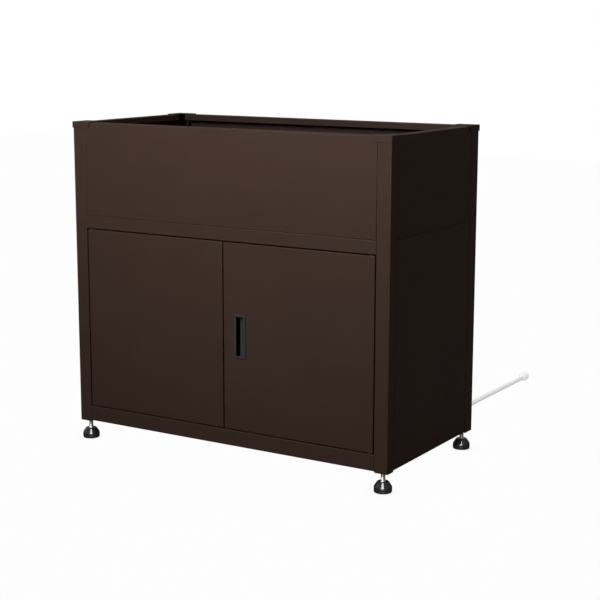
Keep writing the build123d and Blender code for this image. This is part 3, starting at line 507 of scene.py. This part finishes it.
def placed_ring(matrix, angles, radii, heights):
    """Ring about a matrix's z axis; radii and heights in mm, single or one per angle."""
    radii, heights = (v if isinstance(v, list) else [v] * len(angles) for v in (radii, heights))
    return [matrix @ Vector((radius * MM * math.cos(angle), radius * MM * math.sin(angle),
                             height * MM))
            for radius, angle, height in zip(radii, angles, heights)]


def rings_to_faces(ring_count, segs, first=0, closed=False):
    """Quads between consecutive rings of segs vertices."""
    faces = []
    for i in range(ring_count if closed else ring_count - 1):
        a = first + i * segs
        b = first + ((i + 1) % ring_count) * segs
        for j in range(segs):
            k = (j + 1) % segs
            faces.append((a + j, a + k, b + k, b + j))
    return faces


def capped_solid(rings, low_point, high_point):
    """Solid through a stack of rings, closed by a fan to a point at each end."""
    segs = len(rings[0])
    verts = [v for ring in rings for v in ring]
    faces = rings_to_faces(len(rings), segs)
    low, high = len(verts), len(verts) + 1
    top = low - segs
    for j in range(segs):
        k = (j + 1) % segs
        faces.append((low, k, j))
        faces.append((high, top + j, top + k))
    return verts + [low_point, high_point], faces


def merged(solids):
    verts, faces = [], []
    for new_verts, new_faces in solids:
        base = len(verts)
        verts += new_verts
        faces += [tuple(i + base for i in face) for face in new_faces]
    return verts, faces


def axes_matrix(x_axis, y_axis, z_axis, origin):
    matrix = Matrix((x_axis, y_axis, z_axis)).transposed().to_4x4()
    matrix.translation = origin
    return matrix


def upright_box(node):
    """Centre (x, y) in metres, and bottom and top in mm, of a CAD node."""
    (x0, y0, z0), (x1, y1, z1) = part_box(node)
    return ((x0 + x1) / 2, (y0 + y1) / 2), z0 / MM, z1 / MM


# ---------------------------------------------------------------------------
# Feet, in mm
# ---------------------------------------------------------------------------
STEM_SEGS = 40
THREAD_PITCH = 1.75
THREAD_STEPS = 8        # rings per turn
THREAD_RADIUS = 6.0
THREAD_DEPTH = 0.66
CREST_FLAT = 0.10       # share of the half pitch
FLANK = 0.74            # share of the half pitch
RUN_IN = 1.4            # length over which the thread grows to full depth
TIP_LENGTH = 1.3
TIP_CUT = 0.75          # radius lost at the tip
COLLAR_RISE = 12.0      # collar's underside above the stem's bottom
COLLAR_HEIGHT = 6.6

FOOT_SEGS = 96
# (radius, z) up the foot's flank and over its shoulder, smoothed into a curve
FOOT_SHOULDER = [
    (23.6, 12.6), (23.52, 14.0), (23.1, 15.6), (22.1, 17.4), (20.1, 20.5), (18.1, 23.5),
    (16.1, 26.4), (15.1, 27.7), (14.2, 28.5),
]
# (radius, z) from the underside's centre out and up the wall
FOOT_LOWER = [
    (0, 1.0), (17.5, 1.0), (18.0, 0.0), (21.2, 0.0), (22.3, 0.35), (22.95, 1.1), (23.15, 2.2),
    (23.4, 3.6), (23.52, 5.5), (23.6, 8.0),
]
# (radius, z) over the rim and down to the centre of the well for the stem's collar
FOOT_WELL = [
    (13.6, 28.82), (13.0, 28.97), (12.3, 29.0), (9.1, 29.0), (8.55, 28.8), (8.3, 28.3),
    (8.3, 24.0), (0, 24.0),
]


def thread_radius(z, turn, start, end):
    """Radius at height z and at a share of a turn, on a thread from start to end."""
    phase = (z / THREAD_PITCH - turn) % 1.0
    tooth = clamp((abs(phase - 0.5) * 2 - CREST_FLAT) / FLANK)
    run_in = clamp((z - start) / RUN_IN)
    tip = clamp(1.0 - (end - z) / TIP_LENGTH)
    return (THREAD_RADIUS - THREAD_DEPTH * tooth * run_in
            - TIP_CUT * tip * (1.0 - 0.7 * tooth * run_in))


def threaded_stem(node):
    """M12 stem: helical thread above a plain moulded-in collar."""
    centre, bottom, top = upright_box(node)
    collar = bottom + COLLAR_RISE
    collar_top = collar + COLLAR_HEIGHT
    # (radius, z)
    plain = [
        (7.6, bottom), (8.0, bottom + 0.4), (8.0, bottom + 4.0), (THREAD_RADIUS, bottom + 4.0),
        (THREAD_RADIUS, collar), (7.6, collar), (7.95, collar + 0.4), (7.95, collar_top - 0.7),
        (7.4, collar_top - 0.05), (THREAD_RADIUS, collar_top),
    ]
    rings = [level_ring(centre, [radius] * STEM_SEGS, z) for radius, z in plain]
    step = THREAD_PITCH / THREAD_STEPS
    count = int((top - collar_top - 0.05) / step)
    for i in range(1, count + 1):
        z = collar_top + i * step
        radii = [thread_radius(z, j / STEM_SEGS, collar_top, top) for j in range(STEM_SEGS)]
        rings.append(level_ring(centre, radii, z))
    solid = capped_solid(rings, (*centre, bottom * MM),
                         (*centre, (collar_top + count * step) * MM))
    finish_piece("threaded_" + node, node, "bright", solid, sharp=50.0)


def smooth_curve(points, steps=7):
    """Catmull-Rom curve through (r, z) points."""
    padded = [points[0], *points, points[-1]]
    curve = []
    for corners in zip(padded, padded[1:], padded[2:], padded[3:]):
        for step in range(steps):
            t = step / steps
            curve.append(tuple(
                0.5 * (2 * b + (c - a) * t + (2 * a - 5 * b + 4 * c - d) * t * t
                       + (3 * b - a - 3 * c + d) * t ** 3)
                for a, b, c, d in zip(*corners)))
    curve.append(points[-1])
    return curve


def moulded_foot(node):
    """Base with an upright wall, a conical flank, a soft shoulder and a well on top."""
    centre = upright_box(node)[0]
    profile = FOOT_LOWER + smooth_curve(FOOT_SHOULDER) + FOOT_WELL
    rings = [level_ring(centre, [radius] * FOOT_SEGS, z) for radius, z in profile[1:-1]]
    solid = capped_solid(rings, (*centre, profile[0][1] * MM), (*centre, profile[-1][1] * MM))
    finish_piece("moulded_" + node, node, "foot", solid, sharp=48.0)


for corner in CORNERS:
    threaded_stem("foot_stem_" + corner)
    moulded_foot("foot_base_" + corner)


# ---------------------------------------------------------------------------
# Screws and nuts, in mm
# ---------------------------------------------------------------------------
HEAD_HEIGHT = 2.6
SHANK_END = -8.0
SHANK_THREAD = -7.3             # where the M4 thread starts
SHANK_STEP = 0.35               # half a thread pitch
SHANK_CREST, SHANK_ROOT = 1.99, 1.62
# (radius, z) of the pan head, z = 0 under it
PAN_HEAD = [
    (SHANK_CREST, 0.0), (3.9, 0.0), (4.0, 0.15), (3.97, 0.95), (3.78, 1.45), (3.35, 1.95),
    (2.7, 2.35),
]
CROSS_HALF_WIDTH = 0.42
CROSS_LENGTH = 2.15
CROSS_SHOULDER = 0.42           # angle, in radians, sampled beside each arm

M4_NUT = {"apothem": 3.5, "bore": 2.03}
M12_NUT = {"apothem": 9.5, "bore": 6.05}
NUT_SEGS = 30

screw_turns = random.Random(4117)


def islands(node):
    """The separate lumps of a CAD node as lists of vertex positions."""
    bm = bmesh.new()
    bm.from_mesh(nodes[node].data)
    bmesh.ops.remove_doubles(bm, verts=bm.verts, dist=1e-5)
    bm.verts.ensure_lookup_table()
    seen, lumps = set(), []
    for start in bm.verts:
        if start.index in seen:
            continue
        seen.add(start.index)
        stack, lump = [start], []
        while stack:
            vert = stack.pop()
            lump.append(vert.co.copy())
            for link in vert.link_edges:
                other = link.other_vert(vert)
                if other.index not in seen:
                    seen.add(other.index)
                    stack.append(other)
        lumps.append(lump)
    bm.free()
    return lumps


def extent(lump):
    low = Vector([min(p[i] for p in lump) for i in range(3)])
    high = Vector([max(p[i] for p in lump) for i in range(3)])
    return low, high


def unit(axis, sign=1.0):
    return Vector([sign if i == axis else 0.0 for i in range(3)])


def frame_at(origin, z_axis, x_axis):
    return axes_matrix(x_axis, z_axis.cross(x_axis), z_axis, origin)


def cross_samples():
    """Angles round a cross recess that hit every corner of its outline, and its radii."""
    tip = math.atan2(CROSS_HALF_WIDTH, CROSS_LENGTH)
    angles, radii = [], []
    for quarter in range(4):
        for offset in (-math.pi / 4, -CROSS_SHOULDER, -tip, 0.0, tip, CROSS_SHOULDER):
            away = abs(offset)
            on_end = CROSS_LENGTH * math.tan(away) <= CROSS_HALF_WIDTH + 1e-9
            angles.append(quarter * math.pi / 2 + offset)
            radii.append(CROSS_LENGTH / math.cos(away) if on_end
                         else CROSS_HALF_WIDTH / math.sin(away))
    return angles, radii


def screw_solid(matrix, turn):
    """M4 pan head with a cross recess on a threaded shank; z = 0 is under the head."""
    angles, cross = cross_samples()
    profile = [(1.35, SHANK_END), (1.95, SHANK_THREAD)]
    z, crest = SHANK_THREAD, False
    while z < -1.0:
        z += SHANK_STEP
        profile.append((SHANK_CREST if crest else SHANK_ROOT, z))
        crest = not crest
    profile += PAN_HEAD
    # rim, mouth and floor of the recess
    profile += [([r + 0.12 for r in cross], 2.56), (cross, 2.45), ([r * 0.62 for r in cross], 1.0)]
    turned = [angle + turn for angle in angles]
    rings = [placed_ring(matrix, turned, radii, height) for radii, height in profile]
    return capped_solid(rings, matrix @ Vector((0, 0, SHANK_END * MM)),
                        matrix @ Vector((0, 0, 0.8 * MM)))


def nut_solid(matrix, height, apothem, bore):
    """Hex nut, its corners turned down at both ends, thread mouth chamfered."""
    angles = circle_angles(NUT_SEGS)
    # corners on local x
    outline = [apothem / math.cos(a % (math.pi / 3) - math.pi / 6) for a in angles]
    drop = [(r - apothem * 0.97) * 0.5 for r in outline]
    side = [r * 0.998 for r in outline]
    half = height / 2
    mouth = min(0.35, apothem * 0.1)
    profile = [
        (bore, half - mouth), (bore + mouth, half), (apothem * 0.96, half),
        (side, [half - d for d in drop]), (side, [-half + d for d in drop]),
        (apothem * 0.96, -half), (bore + mouth, -half), (bore, -half + mouth),
    ]
    verts = [v for radii, heights in profile
             for v in placed_ring(matrix, angles, radii, heights)]
    return verts, rings_to_faces(len(profile), NUT_SEGS, closed=True)


def fitted_screw(lump):
    """A screw along a lump's longest side, its head at the lump's wide end."""
    low, high = extent(lump)
    size = high - low
    axis = max(range(3), key=lambda i: size[i])
    seat = (low + high) / 2
    low_radius = max(Vector([p[i] - seat[i] for i in range(3) if i != axis]).length
                     for p in lump if p[axis] < low[axis] + 1.2 * MM)
    if low_radius > 3 * MM:
        sign = -1.0
        seat[axis] = low[axis] + HEAD_HEIGHT * MM
    else:
        sign = 1.0
        seat[axis] = high[axis] - HEAD_HEIGHT * MM
    matrix = frame_at(seat, unit(axis, sign), unit((axis + 1) % 3))
    return screw_solid(matrix, screw_turns.uniform(0, math.pi / 2))


def fitted_nut(lump, apothem, bore):
    """A nut along a lump's shortest side, or upright if no side is clearly short."""
    low, high = extent(lump)
    size = high - low
    shortest, _, longest = sorted(range(3), key=lambda i: size[i])
    axis = shortest if size[shortest] < 2 * apothem * MM * 0.9 else 2
    matrix = frame_at((low + high) / 2, unit(axis), unit(longest))
    return nut_solid(matrix, size[axis] / MM, apothem, bore)


def place_nuts(node, nut):
    solid = merged([fitted_nut(lump, **nut) for lump in islands(node)])
    finish_piece(node + "_detail", node, "zinc", solid, sharp=28.0)


finish_piece("panel_screws_detail", "panel_screws", "zinc",
             merged([fitted_screw(lump) for lump in islands("panel_screws")]), sharp=32.0)
place_nuts("panel_nuts", M4_NUT)
place_nuts("cap_nuts", M4_NUT)
place_nuts("foot_nuts", M12_NUT)


# ---------------------------------------------------------------------------
# Drain hose: path in metres, section in mm
# ---------------------------------------------------------------------------
DRAIN_X, DRAIN_Y = 0.416, 0.128
DRAIN_DROP = 0.034              # straight length under the drain
BEND_PULL_Z = 0.300             # Bezier handle under the drain
BEND_PULL_Y = 0.060             # Bezier handle in front of the pipe
PIPE_X, PIPE_Y = 0.444, 0.176
PIPE_RUN = 0.028                # straight length into the pipe

HOSE_SEGS = 28
RIB_PITCH = 4.2
RIB_STEPS = 6                   # rings per rib
CREST, ROOT, INNER = 10.15, 9.0, 8.05
CUFF = 31.0                     # plain length at each end
CUFF_FADE = 2.0


def hose_path():
    """Centre line of the drain hose: down, round and back."""
    drain_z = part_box("drain_hose")[1][2]
    socket_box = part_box("pipe_end_socket")
    pipe_z = (socket_box[0][2] + socket_box[1][2]) / 2
    points = [Vector((DRAIN_X, DRAIN_Y, drain_z - DRAIN_DROP * i / 12)) for i in range(12)]
    p0 = Vector((DRAIN_X, DRAIN_Y, drain_z - DRAIN_DROP))
    p1 = Vector((DRAIN_X, DRAIN_Y, BEND_PULL_Z))
    p2 = Vector((PIPE_X, BEND_PULL_Y, pipe_z))
    p3 = Vector((PIPE_X, PIPE_Y, pipe_z))
    for i in range(400):
        t = i / 400
        points.append(p0 * (1 - t) ** 3 + p1 * 3 * t * (1 - t) ** 2
                      + p2 * 3 * t * t * (1 - t) + p3 * t ** 3)
    points += [Vector((PIPE_X, PIPE_Y + PIPE_RUN * i / 12, pipe_z)) for i in range(13)]
    return points


def even_samples(points, step):
    """Evenly spaced (distance, point) along a path, and its length."""
    reached = [0.0]
    for a, b in zip(points, points[1:]):
        reached.append(reached[-1] + (b - a).length)
    total = reached[-1]
    count = int(total / step)
    samples, i = [], 0
    for k in range(count + 1):
        distance = total * k / count
        while i < len(reached) - 2 and reached[i + 1] < distance:
            i += 1
        share = (distance - reached[i]) / (reached[i + 1] - reached[i])
        samples.append((distance, points[i].lerp(points[i + 1], share)))
    return samples, total


def corrugated_hose():
    """Ribbed tube with plain cuffs and a smooth bore."""
    samples, total = even_samples(hose_path(), RIB_PITCH * MM / RIB_STEPS)
    count = len(samples)
    normal = Vector((1, 0, 0))
    outer, inner = [], []
    for k, (distance, point) in enumerate(samples):
        before = samples[max(0, k - 1)][1]
        after = samples[min(count - 1, k + 1)][1]
        tangent = (after - before).normalized()
        normal = (normal - tangent * normal.dot(tangent)).normalized()
        other = tangent.cross(normal)
        ribbed = clamp((min(distance, total - distance) / MM - CUFF) / CUFF_FADE)
        wave = 0.5 - 0.5 * math.cos(2 * math.pi * distance / (RIB_PITCH * MM))
        radius = (CREST - ribbed * (CREST - ROOT) * (wave ** 0.7)) * MM
        for angle in circle_angles(HOSE_SEGS):
            way = normal * math.cos(angle) + other * math.sin(angle)
            outer.append(point + way * radius)
            inner.append(point + way * INNER * MM)
    shift = len(outer)
    faces = rings_to_faces(count, HOSE_SEGS) + rings_to_faces(count, HOSE_SEGS, first=shift)
    for j in range(HOSE_SEGS):
        k = (j + 1) % HOSE_SEGS
        for a in (0, (count - 1) * HOSE_SEGS):
            faces.append((a + j, a + k, shift + a + k, shift + a + j))
    finish_piece("corrugated_hose", "drain_hose", "hose", (outer + inner, faces), sharp=60.0)


corrugated_hose()

# ---------------------------------------------------------------------------
# Camera: in front, to the right and above; angles in radians
# ---------------------------------------------------------------------------
CAMERA_PLACE = (2.134531, -3.320358, 1.152984)
YAW, PITCH, ROLL = 0.5528099095, 0.1858861463, 0.0019921484


def add_camera():
    forward = Vector((-math.sin(YAW) * math.cos(PITCH), math.cos(YAW) * math.cos(PITCH),
                      -math.sin(PITCH)))
    side = Vector((math.cos(YAW), math.sin(YAW), 0.0))
    below = forward.cross(side)
    right = side * math.cos(ROLL) - below * math.sin(ROLL)
    down = side * math.sin(ROLL) + below * math.cos(ROLL)
    data = bpy.data.cameras.new("camera")
    data.sensor_width = 36.0
    data.lens = 86.4066
    data.clip_end = 60.0
    camera = bpy.data.objects.new("camera", data)
    scene.collection.objects.link(camera)
    camera.matrix_world = axes_matrix(right, -down, -forward, CAMERA_PLACE)
    scene.camera = camera


add_camera()
scene.view_settings.view_transform = "Standard"
scene.view_settings.look = "None"


# ---------------------------------------------------------------------------
# Studio: white surround for the camera, soft light from the front left and above
# ---------------------------------------------------------------------------
def seen_or_lit(tree, path, lit, seen):
    """Shader that is seen by camera and transmission rays, and lit for all others."""
    direct = add_node(tree, "Math", {0: path.outputs["Is Camera Ray"],
                                     1: path.outputs["Is Transmission Ray"]},
                      operation="MAXIMUM")
    return add_node(tree, "MixShader", {0: direct.outputs[0], 1: lit.outputs[0],
                                        2: seen.outputs[0]}).outputs[0]


def studio_world():
    """White to the camera; as light, a soft gradient brightest from the upper front left."""
    world = bpy.data.worlds.new("studio")
    scene.world = world
    tree = empty_tree(world)
    coord = add_node(tree, "TexCoord", {})
    toward = add_node(tree, "VectorMath", {0: coord.outputs["Generated"],
                                           1: Vector((-0.55, -0.42, 0.72)).normalized()},
                      operation="DOT_PRODUCT")
    strength = map_range(tree, toward.outputs["Value"], span=(-0.6, 0.9), to=(0.10, 0.56))
    seen = add_node(tree, "Background", {"Color": (1.0, 1.0, 1.0, 1.0)})
    lit = add_node(tree, "Background", {"Strength": strength})
    path = add_node(tree, "LightPath", {})
    add_node(tree, "OutputWorld", {"Surface": seen_or_lit(tree, path, lit, seen)})


def area_light(name, place, target, size, energy, colour=(1.0, 1.0, 1.0), size_y=None):
    data = bpy.data.lights.new(name, "AREA")
    data.energy = energy
    data.color = colour
    data.size = size
    if size_y:
        data.shape = "RECTANGLE"
        data.size_y = size_y
    lamp = bpy.data.objects.new(name, data)
    scene.collection.objects.link(lamp)
    lamp.location = place
    aim = Vector(target) - Vector(place)
    lamp.rotation_euler = aim.to_track_quat("-Z", "Y").to_euler()
    return lamp


def group_of(name, objects):
    group = bpy.data.collections.new(name)
    for member in objects:
        group.objects.link(member)
    return group


def limit_light(lamp, receivers, blockers):
    """Lights only the receivers; without the floor as a blocker it may sink below it."""
    lamp.light_linking.receiver_collection = group_of(lamp.name + "_on", receivers)
    lamp.light_linking.blocker_collection = group_of(lamp.name + "_blockers", blockers)


def studio_lights():
    cabinet = [o for o in bpy.data.objects if o.type == "MESH"]
    bases = [o for o in cabinet if o.name.startswith("moulded_foot")]
    stems = [o for o in cabinet if o.name.startswith("threaded_foot")]

    key = area_light("key", place=(-0.42, -2.7, 2.22), target=(0.18, -0.2, 1.55), size=1.3,
                     energy=29.5, colour=(1.0, 0.985, 0.965))
    key.data.spread = math.radians(80.0)
    all_but_bases = group_of("key_receivers", bases)
    for entry in all_but_bases.collection_objects:
        entry.light_linking.link_state = "EXCLUDE"
    key.light_linking.receiver_collection = all_but_bases

    back = area_light("back", place=(-1.4, 3.0, 2.6), target=(0.1, 0.3, 0.2), size=1.8,
                      energy=90.0)
    back.visible_glossy = False
    fill_light = area_light("side_fill", place=(3.4, 0.5, 1.5), target=(0.5, 0.0, 0.5), size=2.0,
                            energy=10.0)
    fill_light.visible_glossy = False

    strip = area_light("base_strip", place=(1.95, -3.85, 2.20), target=(0.30, -0.25, 2.20),
                       size=2.5, size_y=8.4, energy=900.0)
    limit_light(strip, bases, cabinet)
    strip = area_light("stem_strip", place=(1.50, -3.95, 0.60), target=(0.20, -0.25, 0.60),
                       size=2.4, size_y=5.6, energy=95.0)
    limit_light(strip, stems, cabinet)


def studio_floor(reach=9):
    """White to the camera with a faint contact shadow, grey to all other rays."""
    mesh = bpy.data.meshes.new("floor")
    mesh.from_pydata([(-reach, -reach, 0), (reach, -reach, 0), (reach, reach, 0),
                      (-reach, reach, 0)], [], [(0, 1, 2, 3)])
    floor = bpy.data.objects.new("floor", mesh)
    scene.collection.objects.link(floor)
    material = bpy.data.materials.new("floor")
    tree = empty_tree(material)
    path = add_node(tree, "LightPath", {})
    # seen in a satin surface the floor is darker than seen diffusely, as if flagged off
    tone = add_node(tree, "Mix", {0: path.outputs["Is Glossy Ray"], 6: (0.16, 0.16, 0.16, 1),
                                  7: (0.08, 0.08, 0.08, 1)}, data_type="RGBA")
    lit = add_node(tree, "BsdfDiffuse", {0: tone.outputs[2]})
    contact = add_node(tree, "AmbientOcclusion", {"Distance": 0.030}, samples=6)
    strength = map_range(tree, contact.outputs["AO"], span=(0.0, 0.9), to=(0.72, 0.985))
    seen = add_node(tree, "Emission", {"Strength": strength})
    add_node(tree, "OutputMaterial", {"Surface": seen_or_lit(tree, path, lit, seen)})
    mesh.materials.append(material)


studio_world()
studio_lights()
studio_floor()
